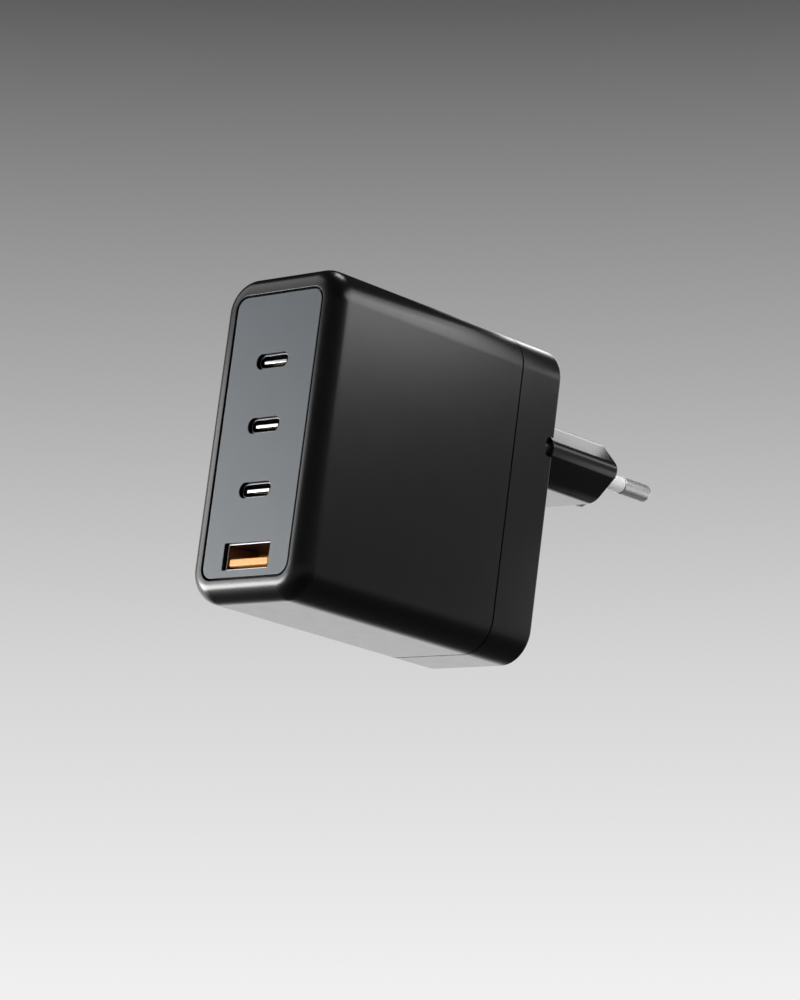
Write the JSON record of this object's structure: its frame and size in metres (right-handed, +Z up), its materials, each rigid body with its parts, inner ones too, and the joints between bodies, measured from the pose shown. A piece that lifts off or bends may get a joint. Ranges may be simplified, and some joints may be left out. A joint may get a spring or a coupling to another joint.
{
  "type": "usb wall charger",
  "caption": "Upright block wall charger with a grey port face, USB-C and USB-A sockets and a flat round-pin mains plug on its back.",
  "frame": {"origin": "centre of the flat face that the body stands on, midway between its sides and between its port face and its back", "axes": "+X across the width, +Y from the port face to the plug, +Z up"},
  "size_m": [0.0354, 0.1082, 0.07],
  "materials": {
    "shell_black": "satin moulded plastic",
    "neck_black": "smooth moulded plastic",
    "panel_grey": "satin slate grey",
    "pin_nickel": "nickel plated, turned",
    "sleeve_white": "pale insulating sleeve",
    "spring_brass": "rolled strip",
    "port_steel": "drawn sheet, polished",
    "tongue_black": "moulded",
    "tongue_orange": "glossy moulded",
    "contact_gold": "gold plated",
    "board_green": "lacquered laminate",
    "part_black": "moulded package",
    "part_white": "moulded package",
    "winding_copper": "enamelled wire",
    "ferrite": "pressed ferrite",
    "film_yellow": "box film capacitor",
    "disc_blue": "dipped disc",
    "disc_green": "dipped disc",
    "can_blue": "sleeved can",
    "can_plain": "bare can",
    "spreader_aluminium": "rolled sheet",
    "pad_rubber": "soft pad",
    "sheet_paper": "insulating board"
  },
  "bodies": {
    "root": {"board_header": "part_black", "bridge_rectifier": "part_black", "bulk_capacitor_1": "can_blue", "bulk_capacitor_2": "can_blue", "bulk_capacitor_3": "can_blue", "choke_base": "part_black", "choke_core": "ferrite", "choke_winding_1": "winding_copper", "choke_winding_2": "winding_copper", "face_panel": "panel_grey", "film_capacitor": "film_yellow", "fuse": "part_black", "heat_spreader": "spreader_aluminium", "housing": "shell_black", "insulating_sheet": "sheet_paper", "line_contact": "spring_brass", "line_pin": "pin_nickel", "line_sleeve": "sleeve_white", "main_board": "board_green", "neutral_contact": "spring_brass", "neutral_pin": "pin_nickel", "neutral_sleeve": "sleeve_white", "optocoupler": "part_white", "output_capacitor_1": "can_plain", "output_capacitor_2": "can_plain", "output_capacitor_3": "can_plain", "output_inductor_1": "ferrite", "output_inductor_2": "ferrite", "output_inductor_3": "ferrite", "plug_neck": "neck_black", "port_board": "board_green", "port_chip_1": "part_black", "port_chip_2": "part_black", "rear_cover": "shell_black", "rectifier_chip": "part_black", "safety_capacitor": "disc_blue", "switch_chip": "part_black", "thermal_pad": "pad_rubber", "transformer_bobbin": "part_black", "transformer_core_lower": "ferrite", "transformer_core_upper": "ferrite", "transformer_winding": "winding_copper", "usb_a_contact_1": "contact_gold", "usb_a_contact_2": "contact_gold", "usb_a_contact_3": "contact_gold", "usb_a_contact_4": "contact_gold", "usb_a_shell": "port_steel", "usb_a_tongue": "tongue_orange", "usb_c_shell_1": "port_steel", "usb_c_shell_2": "port_steel", "usb_c_shell_3": "port_steel", "usb_c_tongue_1": "tongue_black", "usb_c_tongue_2": "tongue_black", "usb_c_tongue_3": "tongue_black", "varistor": "disc_green"}
  },
  "joints": []
}
